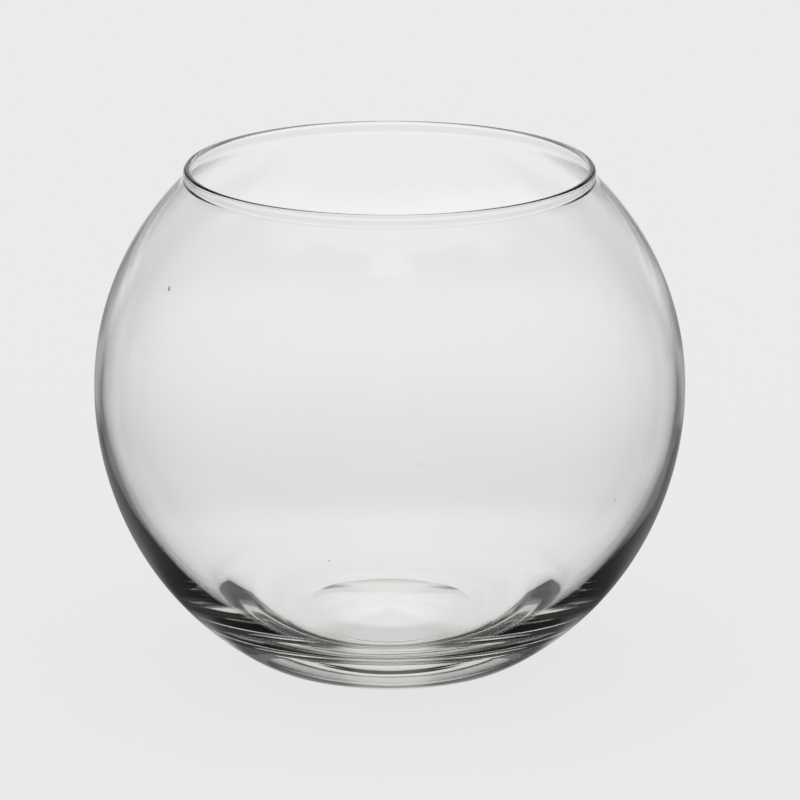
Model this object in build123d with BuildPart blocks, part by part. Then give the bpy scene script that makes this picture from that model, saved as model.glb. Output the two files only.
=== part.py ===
from build123d import *
import math
import os

# Rose bowl vase: one body of clear blown glass, a globe with a heavy base and a fire-polished lip.
# Sizes in millimetres. The bowl stands on Z = 0 with its axis along Z.

# Outside
HEIGHT = 130.5  # table to the top of the lip
BODY_DIAMETER = 152.0  # widest part of the globe
WIDEST_LEVEL = 72.5  # height of that widest part
FOOT_DIAMETER = 64.0  # where the globe runs into the table, before the heel is rounded
HEEL_RADIUS = 25.0  # rounding from the globe down to the foot
LIP_DIAMETER = 105.0  # outside of the upright lip
LIP_HEIGHT = 3.2  # outer crease to the top of the lip
LIP_THICKNESS = 2.0  # its top is a full round
INNER_LIP_HEIGHT = 2.8  # inner crease to the top of the lip
OUTER_CREASE_RADIUS = 0.7  # softening where the lip meets the shoulder outside
INNER_CREASE_RADIUS = 2.5  # the same inside

# Hollow
WALL = 2.0  # glass at the widest level
BASE_THICKNESS = 10.0  # glass on the axis
HOLLOW_POLE = 0.5  # depth below the table at which the hollow's curve would close
FLOOR_CURVE = 250.0  # radius of the shallow dish that the floor is
FLOOR_EDGE_RADIUS = 12.0  # rounding from the floor up to the wall

# Underneath
PUSH_UP = 1.5  # rise of the hollow under the foot
RING_WIDTH = 3.0  # flat ring that the bowl stands on, before its inner edge is rounded
RING_EDGE_RADIUS = 1.0  # rounding from the ring up into the hollow

# The globe outside: two half ellipses that meet at the widest level
body_r = BODY_DIAMETER / 2
foot_r = FOOT_DIAMETER / 2
lip_r = LIP_DIAMETER / 2
crease_z = HEIGHT - LIP_HEIGHT
foot_angle = math.degrees(math.acos(foot_r / body_r))
lip_angle = math.degrees(math.acos(lip_r / body_r))
keel = WIDEST_LEVEL / math.sin(math.radians(foot_angle))
crown = (crease_z - WIDEST_LEVEL) / math.sin(math.radians(lip_angle))

# The hollow: two half ellipses of its own, so that the glass thins to the lip and thickens to the base
hollow_r = body_r - WALL
mouth_r = lip_r - LIP_THICKNESS
hollow_keel = WIDEST_LEVEL + HOLLOW_POLE
inner_crease_z = HEIGHT - INNER_LIP_HEIGHT
mouth_angle = math.degrees(math.acos(mouth_r / hollow_r))
hollow_crown = (inner_crease_z - WIDEST_LEVEL) / math.sin(math.radians(mouth_angle))

# The floor: the dish meets the lower ellipse of the hollow where the sine of the angle solves a quadratic
floor_z = PUSH_UP + BASE_THICKNESS
dish_centre = WIDEST_LEVEL - floor_z - FLOOR_CURVE
square = hollow_keel**2 - hollow_r**2
linear = 2 * hollow_keel * dish_centre
constant = hollow_r**2 + dish_centre**2 - FLOOR_CURVE**2
floor_sine = 2 * constant / (math.sqrt(linear**2 - 4 * square * constant) - linear)
floor_angle = math.degrees(math.asin(floor_sine))

# Points of the section, as radius and height
ARC_STEPS = 8  # spans of each curve
UNIT_LENGTHS = (1, 1)  # end tangents by length along the curve
LEVEL = (1, 0)  # straight out from the axis
lip_round_r = LIP_THICKNESS / 2
lip_round_z = HEIGHT - lip_round_r
foot_corner = (foot_r, 0)
outer_crease = (lip_r, crease_z)
lip_outside = (lip_r, lip_round_z)
lip_top = (lip_r - lip_round_r, HEIGHT)
lip_inside = (mouth_r, lip_round_z)
inner_crease = (mouth_r, inner_crease_z)
floor_edge = (hollow_r * math.cos(math.radians(floor_angle)), WIDEST_LEVEL + hollow_keel * floor_sine)
floor_middle = (0, floor_z)
push_up_top = (0, PUSH_UP)
foot_middle = (0, 0)


def ellipse_arc(half_width, half_height, start, end):
    """A stretch of an ellipse about the middle of the widest level, between two angles up from it."""
    turn = (end - start) / ARC_STEPS
    angles = [math.radians(start + turn * step) for step in range(ARC_STEPS + 1)]
    points = [(half_width * math.cos(a), WIDEST_LEVEL + half_height * math.sin(a)) for a in angles]
    way = math.copysign(1, turn)
    ends = (angles[0], angles[-1])
    tangents = [(-way * half_width * math.sin(a), way * half_height * math.cos(a)) for a in ends]
    Spline(points, tangents=tangents, tangent_scalars=UNIT_LENGTHS)


def ring_edge(solid, point):
    """The round edge of a turned solid that passes through a point of its section."""
    radius, height = point
    circles = solid.edges().filter_by(GeomType.CIRCLE)
    level = circles.group_by(lambda edge: abs(edge.arc_center.Z - height))[0]
    return level.sort_by(lambda edge: abs(edge.radius - radius))[0]


with BuildPart() as bowl:
    # Half of the section, turned once round the axis
    with BuildSketch(Plane.XZ):
        with BuildLine():
            # Globe from the foot up to the crease under the lip
            ellipse_arc(body_r, keel, -foot_angle, 0)
            ellipse_arc(body_r, crown, 0, lip_angle)
            # Lip: upright outside, full round on top, upright inside
            Line(outer_crease, lip_outside)
            ThreePointArc(lip_outside, lip_top, lip_inside)
            Line(lip_inside, inner_crease)
            # Hollow from the mouth down to the edge of its floor, and the dished floor
            ellipse_arc(hollow_r, hollow_crown, mouth_angle, 0)
            ellipse_arc(hollow_r, hollow_keel, 0, floor_angle)
            TangentArc(floor_middle, floor_edge, tangent=LEVEL)
            # Solid base on the axis, and the flat foot
            Line(floor_middle, foot_middle)
            Line(foot_middle, foot_corner)
        make_face()
    revolve(axis=Axis.Z)
    fillet(ring_edge(bowl, foot_corner), HEEL_RADIUS)
    fillet(ring_edge(bowl, floor_edge), FLOOR_EDGE_RADIUS)
    fillet(ring_edge(bowl, outer_crease), OUTER_CREASE_RADIUS)
    fillet(ring_edge(bowl, inner_crease), INNER_CREASE_RADIUS)

    # Push-up under the foot, inside the ring that is left of the flat
    flat_foot = bowl.faces().sort_by(Axis.Z)[0]
    push_up_edge = (math.sqrt(flat_foot.area / math.pi) - RING_WIDTH, 0)
    with BuildSketch(Plane.XZ):
        with BuildLine():
            TangentArc(push_up_top, push_up_edge, tangent=LEVEL)
            Line(push_up_edge, foot_middle)
            Line(foot_middle, push_up_top)
        make_face()
    revolve(axis=Axis.Z, mode=Mode.SUBTRACT)
    fillet(ring_edge(bowl, push_up_edge), RING_EDGE_RADIUS)

bowl.part.label = "bowl"
os.makedirs("parts", exist_ok=True)
export_step(bowl.part, "parts/bowl.step")
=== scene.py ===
import math

import bpy
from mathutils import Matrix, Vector, noise


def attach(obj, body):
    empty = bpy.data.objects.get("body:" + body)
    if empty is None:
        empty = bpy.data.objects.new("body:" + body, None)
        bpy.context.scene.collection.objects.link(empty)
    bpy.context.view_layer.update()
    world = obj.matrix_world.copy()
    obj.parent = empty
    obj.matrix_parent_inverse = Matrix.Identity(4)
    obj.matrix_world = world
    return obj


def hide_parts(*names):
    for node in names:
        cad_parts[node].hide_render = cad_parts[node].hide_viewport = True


# Rose bowl vase of clear blown glass. Sizes in millimetres up to the mesh, which is in metres, +Z up.
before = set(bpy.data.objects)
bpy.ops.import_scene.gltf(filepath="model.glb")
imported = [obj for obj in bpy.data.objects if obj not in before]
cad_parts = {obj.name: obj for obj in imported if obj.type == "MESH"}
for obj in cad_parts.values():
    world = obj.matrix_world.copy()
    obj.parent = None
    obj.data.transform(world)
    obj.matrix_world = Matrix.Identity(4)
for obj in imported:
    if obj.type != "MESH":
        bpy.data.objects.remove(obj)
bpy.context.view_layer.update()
MM = 0.001

# Outside of the globe and its lip
HEIGHT = 130.5
BODY_R = 76.0
WIDEST_LEVEL = 72.5
FOOT_R = 32.0  # where the globe would meet the table, before the heel is rounded
HEEL_RADIUS = 25.0
LIP_R = 52.5
LIP_HEIGHT = 3.2  # outer crease to the top
LIP_THICKNESS = 2.0
INNER_LIP_HEIGHT = 2.8  # inner crease to the top
OUTER_CREASE_RADIUS = 0.7
INNER_CREASE_RADIUS = 2.5

# Hollow, and the push-up underneath
WALL = 2.0  # at the widest level
FLOOR_LEVEL = 11.5
HOLLOW_POLE = 0.5  # depth below the table at which the hollow's curve would close
FLOOR_CURVE = 250.0
FLOOR_EDGE_RADIUS = 12.0
PUSH_UP = 1.5
RING_WIDTH = 3.0
RING_EDGE_RADIUS = 1.0

# Spans of the mesh along each stretch of the section, and round the axis
PUSH_UP_SPANS = 26
RING_EDGE_SPANS = 5
RING_SPANS = 3
HEEL_SPANS = 22
LOWER_SPANS = 48
UPPER_SPANS = 36
OUTER_CREASE_SPANS = 5
LIP_SIDE_SPANS = 2
LIP_QUARTER_SPANS = 10
INNER_CREASE_SPANS = 8
FLOOR_EDGE_SPANS = 12
FLOOR_SPANS = 22
TURNS = 320

# How far the blown surfaces wander inward from the true form, and the noise that leads them
WANDER = 0.05
WANDER_SCALE = Vector((0.045, 0.045, 0.06))
WANDER_START = Vector((7, 3, 1))

# Seeds, the small bubbles in the wall: degrees to the right of the front, height, half width, half length
SEEDS = [
    (-55.2, 108.1, 0.3, 0.72),
    (5.9, 74.1, 0.2, 0.1),
    (20.3, 74.0, 0.13, 0.17),
    (28.0, 74.7, 0.2, 0.1),
    (49.0, 56.7, 0.17, 0.43),
    (17.0, 59.0, 0.2, 0.1),
    (-11.9, 48.2, 0.18, 0.22),
    (141.0, 63.0, 0.09, 0.14),
    (-118.0, 91.0, 0.14, 0.22),
    (97.0, 40.0, 0.14, 0.2),
]
SEED_SIDES = 12
SEED_BANDS = 7

# Angles on an ellipse between which its joins with other curves are looked for, and how finely
BELOW = (-math.pi / 2 + 0.001, -0.1)
ABOVE = (0.2, 1.3)
HALVINGS = 60


class Ellipse:
    """An ellipse about the middle of the widest level. Angle 0 is level and positive angles go up."""

    def __init__(self, half_width, half_height):
        self.half_width = half_width
        self.half_height = half_height

    @classmethod
    def through(cls, half_width, radius, rise):
        """The ellipse that has that radius at that distance above and below its widest level."""
        return cls(half_width, rise / math.sqrt(1 - (radius / half_width) ** 2))

    def point(self, angle):
        return Vector((self.half_width * math.cos(angle), WIDEST_LEVEL + self.half_height * math.sin(angle)))

    def aside(self, angle, distance):
        """The point at that distance outside the ellipse, square to it."""
        normal = Vector((math.cos(angle) / self.half_width, math.sin(angle) / self.half_height))
        return self.point(angle) + normal.normalized() * distance

    def run(self, start, end, count):
        """Points on the ellipse from one angle to another, without the start."""
        return [self.point(start + (end - start) * i / count) for i in range(1, count + 1)]


def solve(gap, low, high):
    """The angle between low and high at which gap changes sign."""
    rising = gap(high) > 0
    for _ in range(HALVINGS):
        middle = (low + high) / 2
        if (gap(middle) > 0) == rising:
            high = middle
        else:
            low = middle
    return (low + high) / 2


def crease_angle(curve, radius, upright):
    """The angle at which a circle outside the curve touches it, where it also touches an upright line."""
    return solve(lambda a: curve.aside(a, radius).x - upright - radius, *ABOVE)


def line(start, end, count):
    """Points on a straight line from start to end, without the start."""
    return [start + (end - start) * i / count for i in range(1, count + 1)]


def arc(centre, start, end, count):
    """Points on a circle from start to end, the short way, without the start."""
    radius = (start - centre).length
    first = math.atan2(start.y - centre.y, start.x - centre.x)
    last = math.atan2(end.y - centre.y, end.x - centre.x)
    turn = (last - first + math.pi) % (2 * math.pi) - math.pi
    angles = [first + turn * i / count for i in range(1, count + 1)]
    return [centre + radius * Vector((math.cos(a), math.sin(a))) for a in angles]


# The globe outside: two half ellipses that meet at the widest level
globe_low = Ellipse.through(BODY_R, FOOT_R, WIDEST_LEVEL)
globe_high = Ellipse.through(BODY_R, LIP_R, HEIGHT - LIP_HEIGHT - WIDEST_LEVEL)


def section():
    """Half of the bowl's section, from the axis under the foot round the lip to the middle of the floor."""
    mouth_r = LIP_R - LIP_THICKNESS
    hollow_r = BODY_R - WALL
    hollow_low = Ellipse(hollow_r, WIDEST_LEVEL + HOLLOW_POLE)
    hollow_high = Ellipse.through(hollow_r, mouth_r, HEIGHT - INNER_LIP_HEIGHT - WIDEST_LEVEL)

    # Heel, which sets the outside of the ring
    heel = solve(lambda a: globe_low.aside(a, -HEEL_RADIUS).y - HEEL_RADIUS, *BELOW)
    heel_centre = globe_low.aside(heel, -HEEL_RADIUS)

    # Push-up, the rounded inner edge of the ring, and the ring
    push_edge = heel_centre.x - RING_WIDTH
    push_radius = (push_edge ** 2 + PUSH_UP ** 2) / (2 * PUSH_UP)
    push_centre = Vector((0, PUSH_UP - push_radius))
    push_top = Vector((0, PUSH_UP))
    reach = push_radius + RING_EDGE_RADIUS
    ring_edge_x = math.sqrt(reach ** 2 - (RING_EDGE_RADIUS - push_centre.y) ** 2)
    ring_edge_centre = Vector((ring_edge_x, RING_EDGE_RADIUS))
    push_end = push_centre + (ring_edge_centre - push_centre) * push_radius / reach
    ring_inside = Vector((ring_edge_x, 0))
    ring_outside = Vector((heel_centre.x, 0))
    points = [push_top]
    points += arc(push_centre, push_top, push_end, PUSH_UP_SPANS)
    points += arc(ring_edge_centre, push_end, ring_inside, RING_EDGE_SPANS)
    points += line(ring_inside, ring_outside, RING_SPANS)
    points += arc(heel_centre, ring_outside, globe_low.point(heel), HEEL_SPANS)

    # Globe up to the crease, and the lip
    crease = crease_angle(globe_high, OUTER_CREASE_RADIUS, LIP_R)
    crease_centre = globe_high.aside(crease, OUTER_CREASE_RADIUS)
    lip_radius = LIP_THICKNESS / 2
    lip_centre = Vector((LIP_R - lip_radius, HEIGHT - lip_radius))
    lip_foot = Vector((LIP_R, crease_centre.y))
    lip_outside = Vector((LIP_R, lip_centre.y))
    lip_top = Vector((lip_centre.x, HEIGHT))
    lip_inside = Vector((mouth_r, lip_centre.y))
    points += globe_low.run(heel, 0, LOWER_SPANS)
    points += globe_high.run(0, crease, UPPER_SPANS)
    points += arc(crease_centre, points[-1], lip_foot, OUTER_CREASE_SPANS)
    points += line(lip_foot, lip_outside, LIP_SIDE_SPANS)
    points += arc(lip_centre, lip_outside, lip_top, LIP_QUARTER_SPANS)
    points += arc(lip_centre, lip_top, lip_inside, LIP_QUARTER_SPANS)

    # Hollow from the mouth down to the dished floor
    inner_crease = crease_angle(hollow_high, INNER_CREASE_RADIUS, mouth_r)
    inner_centre = hollow_high.aside(inner_crease, INNER_CREASE_RADIUS)
    lip_end = Vector((mouth_r, inner_centre.y))
    dish_centre = Vector((0, FLOOR_LEVEL + FLOOR_CURVE))
    gap = FLOOR_CURVE - FLOOR_EDGE_RADIUS
    edge = solve(lambda a: (hollow_low.aside(a, -FLOOR_EDGE_RADIUS) - dish_centre).length - gap, *BELOW)
    edge_centre = hollow_low.aside(edge, -FLOOR_EDGE_RADIUS)
    dish_edge = dish_centre + (edge_centre - dish_centre) * FLOOR_CURVE / gap
    points += line(lip_inside, lip_end, LIP_SIDE_SPANS)
    points += arc(inner_centre, lip_end, hollow_high.point(inner_crease), INNER_CREASE_SPANS)
    points += hollow_high.run(inner_crease, 0, UPPER_SPANS)
    points += hollow_low.run(0, edge, LOWER_SPANS)
    points += arc(edge_centre, points[-1], dish_edge, FLOOR_EDGE_SPANS)
    points += arc(dish_centre, dish_edge, Vector((0, FLOOR_LEVEL)), FLOOR_SPANS)
    return points


def outward(bearing):
    """Level direction away from the axis."""
    return Vector((math.cos(bearing), math.sin(bearing), 0))


def seed_radius(level):
    """How far from the axis a seed at that level lies: half of the thinnest wall inside the globe."""
    half_height = (globe_low if level < WIDEST_LEVEL else globe_high).half_height
    outside = BODY_R * math.sqrt(1 - ((level - WIDEST_LEVEL) / half_height) ** 2)
    return outside - WALL / 2


def add_seed(verts, faces, middle, half_width, half_length):
    """A bubble: an ellipsoid whose faces look inward, as the glass is outside it."""
    first = len(verts)
    verts.append((middle - Vector((0, 0, half_length))) * MM)
    for band in range(1, SEED_BANDS):
        tilt = math.pi * band / SEED_BANDS
        for side in range(SEED_SIDES):
            out = outward(2 * math.pi * side / SEED_SIDES)
            step = out * half_width * math.sin(tilt) - Vector((0, 0, half_length * math.cos(tilt)))
            verts.append((middle + step) * MM)
    verts.append((middle + Vector((0, 0, half_length))) * MM)
    top = len(verts) - 1
    for side in range(SEED_SIDES):
        here = first + 1 + side
        there = first + 1 + (side + 1) % SEED_SIDES
        faces.append((first, here, there))
        for _ in range(SEED_BANDS - 2):
            faces.append((here, here + SEED_SIDES, there + SEED_SIDES, there))
            here += SEED_SIDES
            there += SEED_SIDES
        faces.append((here, top, there))


def blown(points):
    """Turns the section round the axis into a closed mesh whose surfaces wander, as blown glass does."""
    ring = points[1:-1]
    normals = []
    for before, after in zip(points[:-2], points[2:]):
        along = (after - before).normalized()
        normals.append(Vector((along.y, -along.x)))
    verts = [(0, 0, points[0].y * MM)]
    for turn in range(TURNS):
        out = outward(2 * math.pi * turn / TURNS)
        for point, normal in zip(ring, normals):
            place = out * point.x + Vector((0, 0, point.y))
            depth = WANDER * (1 + noise.noise(place * WANDER_SCALE + WANDER_START)) / 2
            place -= (out * normal.x + Vector((0, 0, normal.y))) * depth
            verts.append(place * MM)
    verts.append((0, 0, points[-1].y * MM))
    last = len(verts) - 1
    count = len(ring)
    faces = []
    for turn in range(TURNS):
        here = 1 + turn * count
        there = 1 + (turn + 1) % TURNS * count
        faces.append((0, there, here))
        faces += [(here + i, there + i, there + i + 1, here + i + 1) for i in range(count - 1)]
        faces.append((last, here + count - 1, there + count - 1))
    for right, level, half_width, half_length in SEEDS:
        middle = outward(math.radians(right - 90)) * seed_radius(level) + Vector((0, 0, level))
        add_seed(verts, faces, middle, half_width, half_length)
    mesh = bpy.data.meshes.new("bowl_glass")
    mesh.from_pydata(verts, [], faces)
    mesh.validate()
    mesh.shade_smooth()
    return mesh


# Least distance from the axis, in metres, at which the stage tells one bearing from another
NEAR_AXIS = 0.00001


def calc(tree, operation, *values):
    """A Math node's result. Each value is a number or another node's output."""
    step = tree.nodes.new("ShaderNodeMath")
    step.operation = operation
    for socket, value in zip(step.inputs, values):
        if isinstance(value, (int, float)):
            socket.default_value = value
        else:
            tree.links.new(value, socket)
    return step.outputs[0]


def blend(tree, factor, low, high):
    """low where the factor is 0 and high where it is 1."""
    return calc(tree, "ADD", calc(tree, "MULTIPLY", calc(tree, "SUBTRACT", 1, factor), low),
                calc(tree, "MULTIPLY", factor, high))


def profile(tree, value, level, *climbs):
    """Levels along a value: the first, and for each smooth climb its start, its end and the level past it."""
    for start, end, past in climbs:
        climb = tree.nodes.new("ShaderNodeMapRange")
        climb.interpolation_type = "SMOOTHSTEP"
        tree.links.new(value, climb.inputs["Value"])
        climb.inputs["From Min"].default_value = start
        climb.inputs["From Max"].default_value = end
        level = blend(tree, climb.outputs["Result"], level, past)
    return level


def polar(tree, vector):
    """Distance from the axis, how far behind the bowl on a scale from -1 to 1, and height."""
    parts = tree.nodes.new("ShaderNodeSeparateXYZ")
    tree.links.new(vector, parts.inputs[0])
    x, y, z = parts.outputs
    flat = calc(tree, "SQRT", calc(tree, "ADD", calc(tree, "MULTIPLY", x, x), calc(tree, "MULTIPLY", y, y)))
    return flat, calc(tree, "DIVIDE", y, calc(tree, "MAXIMUM", flat, NEAR_AXIS)), z


def bounced(tree, path, kind):
    """1 for light that has met a surface of that kind on its way, and 0 for other light."""
    return calc(tree, "GREATER_THAN", path.outputs[kind + " Depth"], 0.5)


# Glass: soda-lime with a faint olive tint, drawn waves and a breath of handling. Lengths in metres
GLASS_COLOUR = (0.998, 1.0, 0.997, 1)
REFRACTIVE_INDEX = 1.52
TINT = (0.8, 0.815, 0.75, 1)
TINT_DENSITY = 8.0
WAVE_SCALE = 70
WAVE_HEIGHT = 0.0002
WAVE_STRENGTH = 0.1
SMEAR_SCALE = 14
SMEAR_DETAIL = 4
SMEAR_RANGE = (0.5, 0.8)
HAZE = 0.015

glass = bpy.data.materials.new("clear_glass")
glass.use_nodes = True
tree = glass.node_tree
shader = tree.nodes["Principled BSDF"]
shader.inputs["Base Color"].default_value = GLASS_COLOUR
shader.inputs["IOR"].default_value = REFRACTIVE_INDEX
shader.inputs["Transmission Weight"].default_value = 1.0
tint = tree.nodes.new("ShaderNodeVolumeAbsorption")
tint.inputs["Color"].default_value = TINT
tint.inputs["Density"].default_value = TINT_DENSITY
tree.links.new(tint.outputs["Volume"], tree.nodes["Material Output"].inputs["Volume"])

# Fire-polished skin: faint drawn waves, and haze where it was handled
skin = tree.nodes.new("ShaderNodeTexCoord")
waves = tree.nodes.new("ShaderNodeTexNoise")
waves.inputs["Scale"].default_value = WAVE_SCALE
waves.inputs["Detail"].default_value = 1
tree.links.new(skin.outputs["Object"], waves.inputs["Vector"])
relief = tree.nodes.new("ShaderNodeBump")
relief.inputs["Strength"].default_value = WAVE_STRENGTH
relief.inputs["Distance"].default_value = WAVE_HEIGHT
tree.links.new(waves.outputs["Fac"], relief.inputs["Height"])
tree.links.new(relief.outputs["Normal"], shader.inputs["Normal"])
smears = tree.nodes.new("ShaderNodeTexNoise")
smears.inputs["Scale"].default_value = SMEAR_SCALE
smears.inputs["Detail"].default_value = SMEAR_DETAIL
tree.links.new(skin.outputs["Object"], smears.inputs["Vector"])
haze = tree.nodes.new("ShaderNodeMapRange")
haze.inputs["From Min"].default_value, haze.inputs["From Max"].default_value = SMEAR_RANGE
haze.inputs["To Min"].default_value = 0.0
haze.inputs["To Max"].default_value = HAZE
tree.links.new(smears.outputs["Fac"], haze.inputs["Value"])
tree.links.new(haze.outputs["Result"], shader.inputs["Roughness"])

bowl = bpy.data.objects.new("bowl_glass", blown(section()))
bpy.context.scene.collection.objects.link(bowl)
bowl.data.materials.append(glass)
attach(bowl, "root")
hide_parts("bowl")

# Stage: the background's pale grey, what shows straight through the glass, and what the glass reflects.
# A profile is a first level and, for each climb, its start, its end and the level past it. An edge is the
# start and end of a climb. Heights are sines, and distances from the axis are in metres. Bearings run from -1
# on the camera's side over 0 at both sides to 1 behind the bowl, and the other way where called ahead.
PALE = 0.8308  # background and floor as the camera sees them
SHADOW = 0.12  # share of the floor's grey that takes shadows
FLOOR_FILL = 0.8  # light that falls on the floor
FLOOR_DROP = 0.0003  # gap that keeps the floor clear of the foot
THROUGH = 0.91  # background straight through the glass
CARDS = 0.03  # dark cards at both sides

# Surround in reflections: a strip light straight behind, then a wing over a pale horizon, then the cards
OBLIQUE_EDGE = (0.72, 0.84)
STRIP_BY_HEIGHT = (0.75, (0.66, 0.78, 0.12))
STRIP_EDGE = (0.95, 0.997)
HORIZON_BY_BEARING = (CARDS, (*OBLIQUE_EDGE, 0.6))
WING_BY_BEARING = (CARDS, (*OBLIQUE_EDGE, 0.36), (0.93, 0.96, CARDS))
WING_EDGE = (0.03, 0.12)
CARDS_EDGE = (0.3, 0.4)

# Table in reflections, a floor glow of painted light and painted shade: under the foot, at both sides in four
# zones outward, and towards the front and back
UNDER_FOOT = 0.75
UNDER_FOOT_EDGE = (0.03, 0.04)
SIDE_FOOT_BY_BEARING = (0.08, (-0.4, 0.0, 0.6))
SIDE_NEAR_BY_BEARING = (0.08, (0.15, 0.5, 0.2))
SIDE_MIDDLE_BY_BEARING = (CARDS, (-0.9, -0.5, 0.16), (0.0, 0.5, 0.28))
SIDE_FAR_BY_BEARING = (CARDS, (0.2, 0.5, 0.16))
SIDE_NEAR_EDGE = (0.045, 0.065)
SIDE_MIDDLE_EDGE = (0.07, 0.1)
SIDE_FAR_EDGE = (0.18, 0.24)
OBLIQUE_BY_DISTANCE = (0.85, (0.075, 0.1, 0.36), (0.25, 0.8, 0.56), (1.0, 3.0, 0.82))
FRONT_BY_DISTANCE = (0.8, (0.055, 0.1, 0.1))
FRONT_EDGE = (0.93, 0.995)
BACK_BY_DISTANCE = (0.95, (0.18, 0.24, 0.85))
BACK_EDGE = (0.94, 0.99)

# Table straight through: a painted soft shade under the front of the foot, and rings of painted light and
# painted shade outward from it
SHADE_EDGE = (0.62, 0.95)
MIDDLE_SHADE_AHEAD = (0.97, (*SHADE_EDGE, 0.87))
RING_SHADE_AHEAD = (0.94, (*SHADE_EDGE, 0.62))
RING_SHADE_EDGE = (0.016, 0.0225)
TABLE_PAINTED_SHADE_BY_DISTANCE = (0.96, (0.085, 0.125, 0.862), (0.12, 0.3, 0.97), (0.34, 0.4, 0.93), (0.46, 0.52, 0.84))
TABLE_EDGE = (0.027, 0.045)

world = bpy.data.worlds.new("studio")
bpy.context.scene.world = world
world.use_nodes = True
tree = world.node_tree
path = tree.nodes.new("ShaderNodeLightPath")
direction = tree.nodes.new("ShaderNodeTexCoord")
_, behind, up = polar(tree, direction.outputs["Generated"])
strip_light = profile(tree, up, *STRIP_BY_HEIGHT)
horizon = profile(tree, behind, *HORIZON_BY_BEARING)
wing = profile(tree, behind, *WING_BY_BEARING)
sides = profile(tree, up, horizon, (*WING_EDGE, wing), (*CARDS_EDGE, CARDS))
surround = profile(tree, behind, sides, (*STRIP_EDGE, strip_light))
reflected = blend(tree, bounced(tree, path, "Diffuse"), surround, FLOOR_FILL)
straight = blend(tree, path.outputs["Is Transmission Ray"], 1.0, THROUGH)
seen = blend(tree, bounced(tree, path, "Glossy"), straight, reflected)
strength = blend(tree, path.outputs["Is Camera Ray"], seen, PALE)
tree.links.new(strength, tree.nodes["Background"].inputs["Strength"])
tree.nodes["Background"].inputs["Color"].default_value = (1, 1, 1, 1)

bpy.ops.mesh.primitive_circle_add(vertices=128, radius=8, fill_type="NGON", location=(0, 0, -FLOOR_DROP))
floor = bpy.context.object
floor.name = "floor"
paper = bpy.data.materials.new("pale_paper")
floor.data.materials.append(paper)
paper.use_nodes = True
tree = paper.node_tree
tree.nodes.remove(tree.nodes["Principled BSDF"])
path = tree.nodes.new("ShaderNodeLightPath")
place = tree.nodes.new("ShaderNodeNewGeometry")
away, behind, _ = polar(tree, place.outputs["Position"])
ahead = calc(tree, "MULTIPLY", behind, -1)

# What the glass reflects of the table: painted light and painted shade that the floor gives off only to
# reflected light
side_foot = profile(tree, behind, *SIDE_FOOT_BY_BEARING)
side_near = profile(tree, behind, *SIDE_NEAR_BY_BEARING)
side_middle = profile(tree, behind, *SIDE_MIDDLE_BY_BEARING)
side_far = profile(tree, behind, *SIDE_FAR_BY_BEARING)
side_zones = (*SIDE_NEAR_EDGE, side_near), (*SIDE_MIDDLE_EDGE, side_middle), (*SIDE_FAR_EDGE, side_far)
sides = profile(tree, away, side_foot, *side_zones)
oblique = profile(tree, away, *OBLIQUE_BY_DISTANCE)
front_light = profile(tree, away, *FRONT_BY_DISTANCE)
back_light = profile(tree, away, *BACK_BY_DISTANCE)
rear = profile(tree, behind, sides, (*OBLIQUE_EDGE, oblique), (*BACK_EDGE, back_light))
around = profile(tree, ahead, rear, (*FRONT_EDGE, front_light))
reflected = profile(tree, away, UNDER_FOOT, (*UNDER_FOOT_EDGE, around))

# What shows of it straight through: the painted shade under the foot, and the painted light and shade of the
# rings outward
middle_shade = profile(tree, ahead, *MIDDLE_SHADE_AHEAD)
ring_shade = profile(tree, ahead, *RING_SHADE_AHEAD)
table = profile(tree, away, *TABLE_PAINTED_SHADE_BY_DISTANCE)
through = profile(tree, away, middle_shade, (*RING_SHADE_EDGE, ring_shade), (*TABLE_EDGE, table))
glow = tree.nodes.new("ShaderNodeEmission")
tree.links.new(blend(tree, bounced(tree, path, "Glossy"), through, reflected), glow.inputs["Strength"])

# What the camera sees of it: the pale grey with a soft shadow
matt = tree.nodes.new("ShaderNodeBsdfDiffuse")
matt.inputs["Color"].default_value = (PALE, PALE, PALE, 1)
lit = tree.nodes.new("ShaderNodeEmission")
lit.inputs["Strength"].default_value = PALE
plain = tree.nodes.new("ShaderNodeMixShader")
plain.inputs[0].default_value = SHADOW
tree.links.new(lit.outputs[0], plain.inputs[1])
tree.links.new(matt.outputs[0], plain.inputs[2])
mixed = tree.nodes.new("ShaderNodeMixShader")
direct = calc(tree, "MAXIMUM", path.outputs["Is Camera Ray"], path.outputs["Is Diffuse Ray"])
tree.links.new(direct, mixed.inputs[0])
tree.links.new(glow.outputs[0], mixed.inputs[1])
tree.links.new(plain.outputs[0], mixed.inputs[2])
tree.links.new(mixed.outputs[0], tree.nodes["Material Output"].inputs["Surface"])
paper.cycles.emission_sampling = "NONE"

# Camera: distance and height of the photograph's view, with the bowl's middle at its place in the frame
FOCAL_PIXELS = 4673.7
FRAME_PIXELS = 800
DISTANCE = 1.2038
ELEVATION = math.radians(16.1)
LOOK = Vector((0, 0, 0.07245))
LOOK_PIXEL = (389.8, 385.2)

lens = bpy.data.cameras.new("camera")
lens.sensor_width = 36.0
lens.lens = lens.sensor_width * FOCAL_PIXELS / FRAME_PIXELS
camera = bpy.data.objects.new("camera", lens)
bpy.context.scene.collection.objects.link(camera)
camera.location = LOOK + DISTANCE * Vector((0, -math.cos(ELEVATION), math.sin(ELEVATION)))
pixel = DISTANCE / FOCAL_PIXELS
right = Vector((1, 0, 0)) * (FRAME_PIXELS / 2 - LOOK_PIXEL[0]) * pixel
down = Vector((0, -math.sin(ELEVATION), -math.cos(ELEVATION))) * (FRAME_PIXELS / 2 - LOOK_PIXEL[1]) * pixel
camera.rotation_euler = (LOOK + right + down - camera.location).to_track_quat("-Z", "Y").to_euler()
bpy.context.scene.camera = camera

# Light paths long enough for clear glass
scene = bpy.context.scene
scene.view_settings.view_transform = "Standard"
scene.cycles.max_bounces = 32
scene.cycles.glossy_bounces = 16
scene.cycles.transmission_bounces = 32
